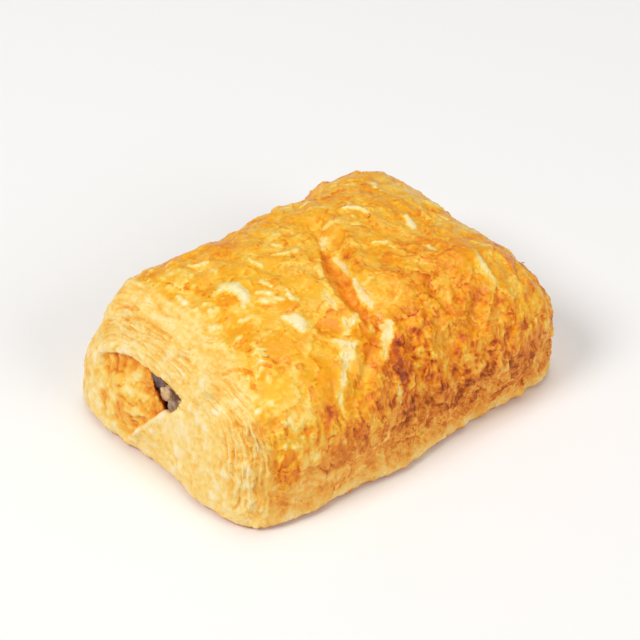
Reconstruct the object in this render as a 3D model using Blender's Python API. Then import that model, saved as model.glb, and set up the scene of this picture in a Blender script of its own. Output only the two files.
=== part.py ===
"""Chicken puff: a pillow of puff pastry wrapped round a savoury filling.

The pastry is one closed solid with a flat underside.  Its -X end is open: a
rounded lip of the outer sheet arches over a tucked-in tongue of dough, a
folded flap crosses the tongue from the front, and a narrow slot between lip
and tongue lets the filling show.  The filling is a second solid that runs
through the pastry from end to end.

Metres, +Z up.  X runs along the puff, the open end is at -X and the long side
that is seen first is at -Y.  The origin is the bottom centre.
"""
import math
import random

import bpy
import numpy as np

MM = 0.001

# ---- driving dimensions -------------------------------------------------
LENGTH = 114.0 * MM          # over the two ends
WIDTH = 82.0 * MM            # over the two long sides
HEIGHT = 42.0 * MM           # to the crown, without the lumps on it
PLAN_POWER = 6.8             # how square the plan is: 2 is an ellipse
TOP_POWER = 3.3              # how boxy the top half of a section is
FOOT_POWER = 5.3             # the same below the widest level
WAIST = 3.6 * MM             # height of the widest level
UNDERCUT = 1.0 * MM          # how far the lower half would reach below the floor

CAVITY_LENGTH = 93.0 * MM    # hollow that holds the filling
CAVITY_WIDTH = 46.0 * MM
CAVITY_FLOOR = 8.0 * MM      # pastry under the filling
CAVITY_HEIGHT = 21.0 * MM
CAVITY_SHIFT = -1.0 * MM     # along X, towards the open end
CAVITY_POWER = 3.0
GAP = 0.35 * MM              # clearance between pastry and filling

LIP_HEIGHT = 27.4 * MM       # lower edge of the lip that arches over the mouth
LIP_DROP = 6.0 * MM          # how far that edge falls towards the back rim
MOUTH_BACK = 26.5 * MM       # Y of the rim that closes the mouth at the back
MOUTH_HEEL = 10.0 * MM       # height below which that rim curves in under the tongue
MOUTH_FRONT = -7.5 * MM      # Y where lip, flap and slot meet
MOUTH_DEPTH = 2.0 * MM       # how far the tongue lies in under the lip
FLAP_FOOT = 15.0 * MM        # Y that the flap's edge heads for at the floor
FLAP_TIP = 8.0 * MM          # height at which the flap's edge dies out
FLAP_STEP = 1.5 * MM         # how far the flap stands over the tongue
SLOT_OUTLINE = (             # Y, Z of the opening, seen from the -X end
    (6.5 * MM, 27.2 * MM),
    (-2.5 * MM, 27.3 * MM),
    (-7.6 * MM, 26.0 * MM),
    (-6.6 * MM, 20.3 * MM),
    (-1.6 * MM, 19.8 * MM),
    (3.2 * MM, 22.6 * MM),
)
SLOT_FACE = -53.0 * MM       # X at which the slot has that outline
SLOT_OUTSIDE = -60.0 * MM    # X where the slot's cutter starts, clear of the end
SLOT_INSIDE = -45.0 * MM     # X where it stops, inside the cavity
SLOT_SLANT = (0.75, -0.7)    # drift in Y and Z for each unit of X on the way in
NOSE_FRONT = -51.2 * MM      # X of the filling where it shows in the slot

GRID_STEP = 1.1 * MM         # mesh size before it is thinned out
CRUST_TRIANGLES = 8200
FILLING_TRIANGLES = 1600
SEED = 11

# Broad swellings of the pastry: centre, radius on each axis, height (mm).
SWELLS = {
    "back corner over the mouth": ((-41, 36, 35), (8, 8, 5), 1.8),
    "dent under the back corner": ((-51, 36, 24), (7, 7, 6), -1.6),
    "rim beside the tongue": ((-54, 32, 6), (8, 8, 8), 1.0),
    "front corner foot": ((-50, -38, 3), (9, 7, 8), 0.8),
    "tongue": ((-56, 13, 12), (10, 9, 8), 1.7),
    "heel of the tongue": ((-57, 20, 2), (7, 8, 6), 2.2),
    "hollow under the flap": ((-57, 3, 4), (6, 6, 4), -0.8),
    "band crown": ((-45, -6, 37), (9, 20, 9), 0.7),
    "back edge, first dip": ((-4, 35, 35), (15, 9, 9), -1.7),
    "back edge, second lump": ((9, 35, 34), (7, 9, 8), 1.1),
    "back edge, second dip": ((22, 35, 36), (5, 8, 7), -1.6),
    "back edge, third lump": ((30, 34, 35), (8, 9, 8), 2.2),
    "back edge, last lump": ((44, 31, 33), (9, 9, 9), 1.4),
    "top lump past the crease": ((9, -20, 40), (9, 10, 8), 1.8),
    "second lump past the crease": ((19, 4, 42), (11, 12, 8), 1.4),
    "third lump past the crease": ((30, -22, 39), (10, 9, 8), 1.3),
    "glazed middle": ((-18, 4, 42), (16, 18, 8), 0.7),
    "front bulge low": ((-24, -41, 13), (12, 8, 9), 1.0),
    "front foot bulge": ((-9, -42, 2), (8, 6, 6), 1.9),
    "front hollow": ((8, -41, 18), (11, 8, 12), -1.8),
    "front bulge right": ((34, -41, 20), (12, 8, 12), 1.3),
    "back hollow": ((-8, 41, 22), (14, 9, 12), -1.2),
    "back bulge": ((18, 41, 18), (14, 9, 12), 1.1),
    "closed end hollow": ((57, 3, 22), (8, 17, 8), -2.2),
    "closed end lip": ((54, 0, 33), (7, 26, 5), 1.0),
}

# Creases (negative) and ridges (positive): points on it, width, height (mm).
FOLDS = {
    "top crease": (((9, 14, 42), (3, -2, 42), (-3, -16, 41), (-4, -29, 38)), 2.3, -2.0),
    "ridge beside the crease": (((14, 10, 42), (8, -6, 42), (2, -18, 41)), 2.2, 1.2),
    "front crease": (((-4, -29, 38), (-12, -34, 34), (-22, -39, 28)), 1.8, -1.1),
    "first side fold": (((2, -34, 34), (4, -40, 22), (1, -42, 8)), 2.0, -1.7),
    "second side fold": (((12, -34, 34), (13, -40, 21), (17, -42, 8)), 2.0, -1.6),
    "third side fold": (((24, -35, 33), (24, -41, 19), (21, -42, 6)), 1.8, -1.2),
    "ridge between the folds": (((7, -35, 33), (9, -41, 20), (8, -42, 9)), 2.0, 1.2),
    "back crease": (((-20, 34, 35), (-18, 40, 20), (-21, 41, 7)), 2.2, -1.2),
    "band edge low": (((-44, -34, 30), (-47, -40, 18), (-47, -41, 7)), 1.6, -0.9),
    "tuck in the closed end": (((57, -24, 16), (58, 0, 21), (57, 24, 15)), 1.8, -1.8),
    "second tuck": (((56, -30, 27), (57, -8, 27), (56, 12, 29)), 1.5, -1.0),
}

CRUST_COLOR = (0.83, 0.48, 0.13, 1.0)
FILLING_COLOR = (0.27, 0.15, 0.09, 1.0)


# ---- scene helpers ------------------------------------------------------
def clear_scene():
    for obj in list(bpy.data.objects):
        bpy.data.objects.remove(obj, do_unlink=True)


def make_collection(name, hidden=False):
    col = bpy.data.collections.new(name)
    bpy.context.scene.collection.children.link(col)
    col.hide_render = hidden
    return col


def make_material(name, color, roughness):
    mat = bpy.data.materials.new(name)
    mat.use_nodes = True
    bsdf = mat.node_tree.nodes["Principled BSDF"]
    bsdf.inputs["Base Color"].default_value = color
    bsdf.inputs["Roughness"].default_value = roughness
    bsdf.inputs["Metallic"].default_value = 0.0
    return mat


def make_object(name, verts, faces, collection, material=None):
    mesh = bpy.data.meshes.new(name)
    mesh.from_pydata([tuple(v) for v in verts], [], faces)
    mesh.update()
    obj = bpy.data.objects.new(name, mesh)
    collection.objects.link(obj)
    if material:
        mesh.materials.append(material)
    return obj


def add_boolean(obj, cutter, operation):
    mod = obj.modifiers.new(operation.title() + " " + cutter.name, "BOOLEAN")
    mod.operation = operation
    mod.object = cutter
    mod.solver = "EXACT"


def add_decimate(obj, triangles):
    """Thin the dense grid out to about this many triangles."""
    mod = obj.modifiers.new("Decimate", "DECIMATE")
    mod.ratio = triangles / (2.0 * len(obj.data.polygons))
    mod.use_collapse_triangulate = True


# ---- the rounded loaf that every solid starts from ----------------------
def cube_grid(nx, ny, nz):
    """Directions over a cube's surface, shared at its edges, and its quads."""
    index, dirs, quads = {}, [], []

    def vert(i, j, k):
        if (i, j, k) not in index:
            index[i, j, k] = len(dirs)
            dirs.append((2 * i / nx - 1, 2 * j / ny - 1, 2 * k / nz - 1))
        return index[i, j, k]

    for i in range(nx):
        for j in range(ny):
            for k, flip in ((0, True), (nz, False)):
                quad = [vert(i, j, k), vert(i + 1, j, k), vert(i + 1, j + 1, k), vert(i, j + 1, k)]
                quads.append(quad[::-1] if flip else quad)
    for i in range(nx):
        for k in range(nz):
            for j, flip in ((0, False), (ny, True)):
                quad = [vert(i, j, k), vert(i + 1, j, k), vert(i + 1, j, k + 1), vert(i, j, k + 1)]
                quads.append(quad[::-1] if flip else quad)
    for j in range(ny):
        for k in range(nz):
            for i, flip in ((0, True), (nx, False)):
                quad = [vert(i, j, k), vert(i, j + 1, k), vert(i, j + 1, k + 1), vert(i, j, k + 1)]
                quads.append(quad[::-1] if flip else quad)
    return np.array(dirs), quads


def loaf(dirs, length, width, height, waist, plan_power, top_power, foot_power, undercut=0.0):
    """Superelliptic loaf: directions to points, widest at the waist's level."""
    a, b, c = dirs.T
    plan = (abs(a) ** plan_power + abs(b) ** plan_power) ** (1 / plan_power)
    power = np.where(c > 0, top_power, foot_power)
    scale = (plan ** power + abs(c) ** power) ** (-1 / power)
    rise = np.where(c > 0, height - waist, waist + undercut)
    return np.stack([a * scale * length / 2, b * scale * width / 2, waist + c * scale * rise], 1)


def vertex_normals(points, quads):
    """Unit normals of a quad mesh, from the diagonals of its faces."""
    quads = np.array(quads)
    p = points[quads]
    face = np.cross(p[:, 2] - p[:, 0], p[:, 3] - p[:, 1])
    total = np.zeros_like(points)
    for corner in range(4):
        np.add.at(total, quads[:, corner], face)
    return total / (np.linalg.norm(total, axis=1)[:, None] + 1e-15)


# ---- relief -------------------------------------------------------------
def smoothstep(low, high, value):
    t = np.clip((value - low) / (high - low), 0.0, 1.0)
    return t * t * (3 - 2 * t)


def line_distance(points, line):
    """Shortest distance from each point to a line of straight runs."""
    best = np.full(len(points), np.inf)
    for start, end in zip(line[:-1], line[1:]):
        start, end = np.array(start), np.array(end)
        run = end - start
        t = np.clip((points - start) @ run / (run @ run), 0, 1)
        best = np.minimum(best, np.linalg.norm(points - start - t[:, None] * run, axis=1))
    return best


def waves(points, wavelength, count, rng):
    """Smooth seeded unevenness, about -1 to 1, made of crossed sine waves."""
    total = np.zeros(len(points))
    for _ in range(count):
        direction = np.array([rng.gauss(0, 1) for _ in range(3)])
        direction /= np.linalg.norm(direction)
        length = wavelength * rng.uniform(0.75, 1.4)
        total += np.sin(points @ direction * 2 * math.pi / length + rng.uniform(0, 2 * math.pi))
    return total / math.sqrt(count) / 1.2


def mouth_relief(points):
    """Lip, tongue and flap of the open end, as a height over the plain loaf."""
    x, y, z = points.T
    at_end = smoothstep(-40 * MM, -49 * MM, x)

    lip_edge = LIP_HEIGHT - LIP_DROP * np.clip((y - 8 * MM) / (MOUTH_BACK - 8 * MM), 0, 1.2) ** 2.5
    heel = np.clip(1 - z / MOUTH_HEEL, 0, 1)
    back_edge = MOUTH_BACK - 9 * MM * heel ** 2
    flap_edge = MOUTH_FRONT + (FLAP_FOOT - MOUTH_FRONT) * np.clip(1 - z / LIP_HEIGHT, 0, 1) ** 1.1
    under_lip, before_back, behind_flap = lip_edge - z, back_edge - y, y - flap_edge

    edge = [smoothstep(-0.7 * MM, 1.0 * MM, d) for d in (under_lip, before_back, behind_flap)]
    flap_on = smoothstep(FLAP_TIP - 5 * MM, FLAP_TIP, z)
    inside = edge[0] * edge[1] * (1 - (1 - edge[2]) * smoothstep(0, 3 * MM, z))
    inside *= smoothstep(-6 * MM, 1 * MM, behind_flap)
    sunk = MOUTH_DEPTH * np.exp(-np.clip(under_lip, 0, None) / (8 * MM))
    stepped = FLAP_STEP * flap_on * np.exp(-np.clip(behind_flap, 0, None) / (6 * MM))
    rimmed = 0.6 * FLAP_STEP * np.exp(-np.clip(before_back, 0, None) / (4 * MM))
    height = -inside * np.maximum(np.maximum(sunk, stepped), rimmed)

    rng = random.Random(SEED + 2)
    height += 0.45 * MM * waves(points, 7 * MM, 12, rng) * inside

    lip_roll = np.exp(-((under_lip + 2.2 * MM) / (2.0 * MM)) ** 2) * smoothstep(-9 * MM, -3 * MM, y)
    lip_roll *= smoothstep(MOUTH_BACK + 6 * MM, MOUTH_BACK - 4 * MM, y)
    flap_roll = np.exp(-((behind_flap + 2.0 * MM) / (1.9 * MM)) ** 2) * flap_on
    flap_roll *= smoothstep(29 * MM, 22 * MM, z)
    height += 0.8 * MM * lip_roll + 0.7 * MM * flap_roll
    return height * at_end


def crust_relief(points):
    """Height of the baked surface over the plain loaf, along its normal."""
    rng = random.Random(SEED)
    height = 0.55 * MM * waves(points, 26 * MM, 9, rng)
    crags = waves(points, 10 * MM, 14, rng)
    rough = smoothstep(-42 * MM, -24 * MM, points[:, 0])
    height += (0.25 + 0.35 * rough) * MM * (0.9 - 2.0 * abs(crags)) * 0.6
    for centre, radius, swell in SWELLS.values():
        offset = (points - np.array(centre) * MM) / (np.array(radius) * MM)
        height += swell * MM * np.exp(-(offset ** 2).sum(1))
    for line, width, fold in FOLDS.values():
        distance = line_distance(points, np.array(line) * MM)
        height += fold * MM * np.exp(-(distance / (width * MM)) ** 2)
    return height + mouth_relief(points)


# ---- solids -------------------------------------------------------------
def grid_counts(length, width, height, step):
    return [max(4, round(size / step)) for size in (length, width, height)]


def build_crust_body(collection, material):
    dirs, quads = cube_grid(*grid_counts(LENGTH, WIDTH, HEIGHT, GRID_STEP))
    points = loaf(dirs, LENGTH, WIDTH, HEIGHT, WAIST, PLAN_POWER, TOP_POWER, FOOT_POWER, UNDERCUT)
    offset = vertex_normals(points, quads) * crust_relief(points)[:, None]
    offset[:, 2] *= smoothstep(0.0, 2.5 * MM, points[:, 2])      # the underside stays flat
    points = points + offset
    points[:, 2] = np.maximum(points[:, 2], 0.0)
    centre = (points.max(0) + points.min(0)) / 2         # origin back under the middle
    points[:, :2] -= centre[:2]
    return make_object("crust", points, quads, collection, material)


def build_inner_loaf(name, inset, collection, step, material=None):
    """The cavity (inset 0) or the filling that lies in it."""
    length, width = CAVITY_LENGTH - 2 * inset, CAVITY_WIDTH - 2 * inset
    height = CAVITY_HEIGHT - 2 * inset
    dirs, quads = cube_grid(*grid_counts(length, width, height, step))
    points = loaf(dirs, length, width, height, height / 2,
                  CAVITY_POWER * 1.4, CAVITY_POWER, CAVITY_POWER)
    if inset:
        rng = random.Random(SEED + 1)
        lumps = waves(points, 11 * MM, 12, rng)
        sink = 0.45 * MM * (2.3 + np.clip(lumps, -1, 1))
        points = points - vertex_normals(points, quads) * sink[:, None]
    points += np.array([CAVITY_SHIFT, 0.0, CAVITY_FLOOR + inset])
    return make_object(name, points, quads, collection, material)


def build_slot_prism(name, outside, inside, inset, collection):
    """Prism over the slot's outline; inset shrinks it towards its middle."""
    outline = np.array(SLOT_OUTLINE)
    middle = outline.mean(0)
    reach = np.linalg.norm(outline - middle, axis=1)[:, None]
    outline = middle + (outline - middle) * (1 - 2.4 * inset / reach)
    count = len(outline)
    rings = []
    for x in (outside, inside):
        drift = [rate * (x - SLOT_FACE) for rate in SLOT_SLANT]
        rings.append([(x, y + drift[0], z + drift[1]) for y, z in outline])
    sides = [(i, (i + 1) % count, count + (i + 1) % count, count + i) for i in range(count)]
    ends = [tuple(range(count))[::-1], tuple(range(count, 2 * count))]
    return make_object(name, rings[0] + rings[1], sides + ends, collection)


def build():
    clear_scene()
    puff = make_collection("Chicken puff")
    cutters = make_collection("Cutters", hidden=True)
    crust_material = make_material("Baked puff pastry", CRUST_COLOR, 0.5)
    filling_material = make_material("Cooked filling", FILLING_COLOR, 0.45)

    crust = build_crust_body(puff, crust_material)
    add_decimate(crust, CRUST_TRIANGLES)
    cavity = build_inner_loaf("cavity cutter", 0.0, cutters, 4.5 * MM)
    slot = build_slot_prism("slot cutter", SLOT_OUTSIDE, SLOT_INSIDE, 0.0, cutters)
    add_boolean(crust, cavity, "DIFFERENCE")
    add_boolean(crust, slot, "DIFFERENCE")

    filling = build_inner_loaf("filling", GAP, puff, 2.2 * MM, filling_material)
    add_decimate(filling, FILLING_TRIANGLES)
    nose = build_slot_prism("nose in the slot", NOSE_FRONT, SLOT_INSIDE, GAP, cutters)
    add_boolean(filling, nose, "UNION")

    for cutter in (cavity, slot, nose):
        cutter.display_type = "WIRE"
        cutter.hide_render = True
    return crust, filling


build()
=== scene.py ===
"""Looks of a chicken puff: baked puff pastry crust, savoury filling, loose flakes and a plain stage.

Laid out as a Blender add-on and run as a script.  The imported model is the
fixed frame, and every piece is worked out from it.  Metres, +Z up, the open
end of the puff at -X and its first long side at -Y.  Relief is written in
millimetres, because that is the scale at which pastry is looked at.
"""

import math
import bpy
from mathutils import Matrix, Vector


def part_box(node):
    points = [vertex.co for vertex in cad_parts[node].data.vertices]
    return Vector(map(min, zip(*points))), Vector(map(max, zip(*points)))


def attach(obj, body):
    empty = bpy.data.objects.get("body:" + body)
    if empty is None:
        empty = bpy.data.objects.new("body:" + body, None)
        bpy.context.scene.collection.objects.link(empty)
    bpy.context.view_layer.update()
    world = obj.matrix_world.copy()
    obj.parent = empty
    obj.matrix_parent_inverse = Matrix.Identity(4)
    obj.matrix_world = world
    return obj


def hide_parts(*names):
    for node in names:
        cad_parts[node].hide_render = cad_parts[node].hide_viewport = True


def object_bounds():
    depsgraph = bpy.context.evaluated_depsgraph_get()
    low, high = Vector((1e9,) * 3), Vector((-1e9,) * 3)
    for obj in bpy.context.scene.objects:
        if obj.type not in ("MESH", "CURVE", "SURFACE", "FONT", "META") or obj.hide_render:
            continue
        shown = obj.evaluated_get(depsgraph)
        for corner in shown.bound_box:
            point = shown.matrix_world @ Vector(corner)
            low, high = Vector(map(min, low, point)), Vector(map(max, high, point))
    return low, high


bl_info = {
    "name": "Chicken Puff Looks",
    "version": (1, 0, 0),
    "blender": (4, 5, 0),
    "location": "View3D > Sidebar > Puff",
    "description": "Dresses a chicken puff: flaky crust, filling, flakes and stage",
    "category": "Object",
}

from types import SimpleNamespace

import bmesh
import bpy
import numpy as np
from mathutils import Vector
from mathutils.kdtree import KDTree

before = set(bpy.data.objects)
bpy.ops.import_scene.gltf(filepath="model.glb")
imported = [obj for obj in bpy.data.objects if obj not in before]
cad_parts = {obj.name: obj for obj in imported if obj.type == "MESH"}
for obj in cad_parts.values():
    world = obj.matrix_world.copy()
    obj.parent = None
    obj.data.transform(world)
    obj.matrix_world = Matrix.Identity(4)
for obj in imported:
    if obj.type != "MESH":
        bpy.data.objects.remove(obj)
CAD_BOX = [list(corner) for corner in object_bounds()]
MM = 1000.0                       # millimetres in a metre

# ---------------------------------------------------------------- settings
LENGTH = {"subtype": "DISTANCE", "unit": "LENGTH", "precision": 5}
ANGLE = {"subtype": "ANGLE", "unit": "ROTATION"}
COLOR = {"subtype": "COLOR", "size": 3, "min": 0, "max": 1}


class PuffCrustSettings(bpy.types.PropertyGroup):
    grain: bpy.props.FloatProperty(
        name="Grain", description="Spacing of the crust's mesh before it is thinned out",
        default=0.00042, min=0.0003, max=0.002, **LENGTH)
    most_triangles: bpy.props.IntProperty(
        name="Most triangles", description="The crust is thinned out to this many", default=192000)
    flake_height: bpy.props.FloatProperty(
        name="Flake height", description="How far the edges of the baked layers stand up",
        default=0.00055, **LENGTH)
    layer_height: bpy.props.FloatProperty(
        name="Layer height", description="Depth of the lines of layered dough in the end bands",
        default=0.00052, **LENGTH)
    bake: bpy.props.FloatProperty(
        name="Bake", description="Makes the whole crust paler (below 0) or browner (above 0)",
        default=0.0, min=-0.3, max=0.3)
    seed: bpy.props.IntProperty(name="Seed", description="Seed of the crust's relief", default=4)


class PuffFillingSettings(bpy.types.PropertyGroup):
    grain: bpy.props.FloatProperty(
        name="Grain", description="Spacing of the filling's mesh",
        default=0.0008, min=0.0004, max=0.003, **LENGTH)
    lump: bpy.props.FloatProperty(
        name="Lump", description="Size of the pieces of meat and onion", default=0.0042, **LENGTH)
    meat: bpy.props.FloatVectorProperty(
        name="Meat", description="Colour of the cooked meat", default=(0.84, 0.58, 0.32), **COLOR)
    onion: bpy.props.FloatVectorProperty(
        name="Onion", description="Colour of the browned onion", default=(0.11, 0.065, 0.062), **COLOR)
    seed: bpy.props.IntProperty(name="Seed", description="Seed of the lumps", default=21)


class PuffFlakeSettings(bpy.types.PropertyGroup):
    count_per_m2: bpy.props.FloatProperty(
        name="Count", description="Flakes on each square metre where the crust is at its loosest",
        default=8000.0, min=0)
    smallest: bpy.props.FloatProperty(
        name="Smallest", description="Size of the smallest flake, as a share of the full one", default=0.25)
    largest: bpy.props.FloatProperty(
        name="Largest", description="Size of the largest flake, as a share of the full one", default=0.9)
    seed: bpy.props.IntProperty(name="Seed", description="Seed of the scatter", default=3)


class PuffStageSettings(bpy.types.PropertyGroup):
    azimuth: bpy.props.FloatProperty(
        name="Azimuth", description="Where the camera stands round the puff; 0 looks along +Y",
        default=math.radians(-39.6), **ANGLE)
    elevation: bpy.props.FloatProperty(
        name="Elevation", description="How far above the table the camera looks down from",
        default=math.radians(37.4), **ANGLE)
    distance: bpy.props.FloatProperty(
        name="Distance", description="From the camera to the middle of the puff", default=0.724, **LENGTH)
    lens: bpy.props.FloatProperty(name="Lens", description="Focal length in millimetres", default=150.0)
    floor: bpy.props.FloatVectorProperty(
        name="Floor", description="Colour of the floor", default=(0.95, 0.95, 0.95), **COLOR)
    fill: bpy.props.FloatProperty(
        name="Fill", description="Strength of the light from all round", default=0.29)


LIGHT_DISTANCE = 1.7         # from the middle of the puff
STUDIO_LIGHTS = (            # name, turned from the camera and height in degrees, size, watts, tint
    ("light_key", -60, 48, 0.75, 15.0, (1.0, 0.988, 0.966)),
    ("light_top", 165, 78, 0.90, 7.0, (1.0, 1.0, 1.0)),
    ("light_side", 50, 32, 0.90, 8.8, (1.0, 0.985, 0.96)),
)
FLOOR_HALF = 3.0             # from the middle of the floor to its sides
FLOOR_DROP = 0.0001          # keeps the floor clear of the underside
SENSOR_WIDTH = 36.0


# ------------------------------------------------------------------- noise
class Noise:
    """Seeded gradient and cell noise over arrays of points."""

    def __init__(self, seed):
        rng = np.random.default_rng(seed)
        self.perm = np.tile(rng.permutation(256), 2)
        arrows = rng.normal(size=(256, 3))
        self.arrows = arrows / np.linalg.norm(arrows, axis=1)[:, None]
        self.seats = rng.random((256, 3))
        self.levels = rng.uniform(-1, 1, 256)

    def hashed(self, cell):
        x, y, z = (cell & 255).T
        return self.perm[self.perm[self.perm[x] + y] + z]

    def smooth(self, p):
        """Gradient noise, about -1 to 1."""
        cell = np.floor(p).astype(np.int64)
        f = p - cell
        u = f * f * f * (f * (f * 6 - 15) + 10)
        total = np.zeros(len(p))
        for corner in np.ndindex(2, 2, 2):
            step = np.array(corner)
            arrow = self.arrows[self.hashed(cell + step)]
            weight = np.prod(np.where(step == 1, u, 1 - u), axis=1)
            total += weight * ((f - step) * arrow).sum(1)
        return total * 1.7

    def rough(self, p, octaves):
        """Octaves of gradient noise, about -1 to 1."""
        total, size, most = np.zeros(len(p)), 1.0, 0.0
        for octave in range(octaves):
            total += size * self.smooth(p * 2.03 ** octave + 17.3 * octave)
            most += size
            size /= 2
        return total / most * 1.3

    def ridges(self, p):
        """1 along wandering lines, less between them."""
        return 1 - 2 * abs(self.rough(p, 2))

    def furrows(self, p, width):
        """1 along thin wandering lines, 0 past their width."""
        return ramp(width, 0.0, abs(self.rough(p, 2)))

    def seats_near(self, p):
        """Seats of a jittered grid round each point: key, offset and distance of each."""
        cell = np.floor(p).astype(np.int64)
        for step in np.ndindex(3, 3, 3):
            there = cell + np.array(step) - 1
            key = self.hashed(there)
            offset = p - there - self.seats[key]
            yield key, offset, np.linalg.norm(offset, axis=1)

    def dots(self, p, rim, core):
        """1 in the core of scattered round dots, 0 past their rim."""
        near = np.full(len(p), 9.0)
        for _, _, d in self.seats_near(p):
            near = np.minimum(near, d)
        return ramp(rim, core, near)

    def plates(self, p, tilt, soft=0.12):
        """Broken plates, each at its own level and tilt: height, gap to the next plate, drop to it, number."""
        near, second = np.full((2, len(p)), 9.0)
        here, beside, number = np.zeros((3, len(p)))
        for key, offset, d in self.seats_near(p):
            value = self.levels[key] + tilt * (offset * self.arrows[key]).sum(1)
            first = d < near
            next_one = ~first & (d < second)
            second = np.where(first, near, np.where(next_one, d, second))
            beside = np.where(first, here, np.where(next_one, value, beside))
            here = np.where(first, value, here)
            number = np.where(first, self.levels[key], number)
            near = np.where(first, d, near)
        gap = second - near
        share = 0.5 + 0.5 * ramp(0, soft, gap)
        return here * share + beside * (1 - share), gap, here - beside, number


# ------------------------------------------------------ shapes of a falloff
def ramp(low, high, value):
    """Smooth step from 0 at low to 1 at high; low may be the larger."""
    t = np.clip((value - low) / (high - low), 0.0, 1.0)
    return t * t * (3 - 2 * t)


def bell(value, middle, width):
    """1 at the middle, falling away on both sides."""
    return np.exp(-((value - middle) / width) ** 2)


def fading(value, reach):
    """1 up to zero, dying away past it."""
    return np.exp(-np.clip(value, 0, None) / reach)


def spot(p, centre, radius):
    """Soft blob: 1 at the centre, falling away over the radius on each axis."""
    return np.exp(-(((p - centre) / radius) ** 2).sum(1))


def shingles(value, riser):
    """Saw-tooth steps, each a sharp rise and a gentle fall as overlapping layers have, and their edges."""
    part = value - np.floor(value)
    step = ramp(0, riser, part)
    return step - part, ramp(riser * 1.6, riser * 0.5, part) * ramp(0, riser * 0.3, part)


def line_distance(p, line):
    """Shortest distance from each point to a line of straight runs."""
    best = np.full(len(p), np.inf)
    for start, end in zip(line[:-1], line[1:]):
        start = np.array(start, float)
        run = np.array(end, float) - start
        t = np.clip((p - start) @ run / (run @ run), 0, 1)
        best = np.minimum(best, np.linalg.norm(p - start - t[:, None] * run, axis=1))
    return best


def search_tree(points):
    """Tree that finds the nearest of the points."""
    tree = KDTree(len(points))
    for index, point in enumerate(points):
        tree.insert(point, index)
    tree.balance()
    return tree


def settled(line, tree, step=0.7):
    """Line laid on a surface: cut into short runs, each corner moved to the nearest surface point."""
    laid = []
    for start, end in zip(line[:-1], line[1:]):
        start, end = Vector(start), Vector(end)
        runs = max(int((end - start).length / step), 1)
        laid += [tree.find(start.lerp(end, k / runs))[0] for k in range(runs)]
    return [tuple(c) for c in laid + [tree.find(Vector(line[-1]))[0]]]


def tapered(p, line, tree, step=0.5):
    """Place within a line laid on the surface that has its own half width at each corner.

    Gives 1 on its middle, 0 at its edge and less outside, and the half width there.
    """
    best, radius = np.full(len(p), -99.0), np.ones(len(p))
    for (*start, wide), (*end, narrow) in zip(line[:-1], line[1:]):
        start, end = Vector(start), Vector(end)
        steps = max(int((end - start).length / step), 2)
        for share in np.linspace(0, 1, steps + 1):
            there = np.array(tree.find(start.lerp(end, share))[0])
            here = wide + (narrow - wide) * share
            value = 1 - np.linalg.norm(p - there, axis=1) / here
            nearer = value > best
            best = np.where(nearer, value, best)
            radius = np.where(nearer, here, radius)
    return best, radius


# ----------------------------------------------------------- mesh handling
def in_scene(name, data):
    """New object in the scene for a mesh, a camera or a lamp."""
    obj = bpy.data.objects.new(name, data)
    bpy.context.scene.collection.objects.link(obj)
    return obj


def modified(mesh, kind, inputs=(), **settings):
    """What a modifier makes of a mesh, which is used up."""
    work = in_scene("work", mesh)
    modifier = work.modifiers.new("Work", kind)
    for key, value in settings.items():
        setattr(modifier, key, value)
    for key, value in inputs:
        modifier[key] = value
    graph = bpy.context.evaluated_depsgraph_get()
    result = bpy.data.meshes.new_from_object(work.evaluated_get(graph))
    bpy.data.objects.remove(work, do_unlink=True)
    bpy.data.meshes.remove(mesh)
    return result


def remeshed(node, spacing):
    """Even mesh over a copy of a CAD node: its points and faces as arrays."""
    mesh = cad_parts[node].data.copy()
    bm = bmesh.new()
    bm.from_mesh(mesh)
    bmesh.ops.remove_doubles(bm, verts=bm.verts, dist=1e-6)
    bm.to_mesh(mesh)
    bm.free()
    dense = modified(mesh, "REMESH", mode="VOXEL", voxel_size=spacing)
    points = np.empty(len(dense.vertices) * 3)
    dense.vertices.foreach_get("co", points)
    corners = np.empty(len(dense.loops), np.int64)
    dense.loops.foreach_get("vertex_index", corners)
    faces = corners.reshape(len(dense.polygons), -1)
    bpy.data.meshes.remove(dense)
    return points.reshape(-1, 3), faces


def triangles(quads):
    return np.concatenate([quads[:, [0, 1, 2]], quads[:, [0, 2, 3]]])


def normals_of(points, quads):
    tri = triangles(quads)
    a, b, c = (points[tri[:, k]] for k in range(3))
    face = np.cross(b - a, c - a)
    total = np.zeros_like(points)
    for k in range(3):
        for axis in range(3):
            total[:, axis] += np.bincount(tri[:, k], face[:, axis], len(points))
    return total / (np.linalg.norm(total, axis=1)[:, None] + 1e-20)


def relaxed(points, quads, rounds, pull=0.6):
    """Smooths away the facets, without shrinking the form."""
    edges = np.concatenate([quads[:, [k, (k + 1) % 4]] for k in range(4)])
    a, b = np.concatenate([edges, edges[:, ::-1]]).T
    count = np.bincount(a, minlength=len(points))[:, None]
    for _ in range(rounds):
        for strength in (pull, -pull * 1.04):
            total = np.stack([np.bincount(a, points[b, axis], len(points)) for axis in range(3)], 1)
            points = points + strength * (total / count - points)
    return points


def thinned(name, points, quads, most):
    """Mesh thinned out to that many triangles, densest where the relief is."""
    mesh = bpy.data.meshes.new(name)
    mesh.from_pydata(points.tolist(), [], quads.tolist())
    done = modified(mesh, "DECIMATE", ratio=min(most / (2 * len(quads)), 1.0), use_collapse_triangulate=True)
    done.name = name
    return done


def finished(name, mesh, material, node=None):
    """Puts a piece in the scene, smooth shaded, riding on the puff's one body."""
    mesh.materials.clear()
    mesh.materials.append(material)
    mesh.polygons.foreach_set("use_smooth", [True] * len(mesh.polygons))
    obj = in_scene(name, mesh)
    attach(obj, "root")
    if node:
        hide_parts(node)


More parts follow.
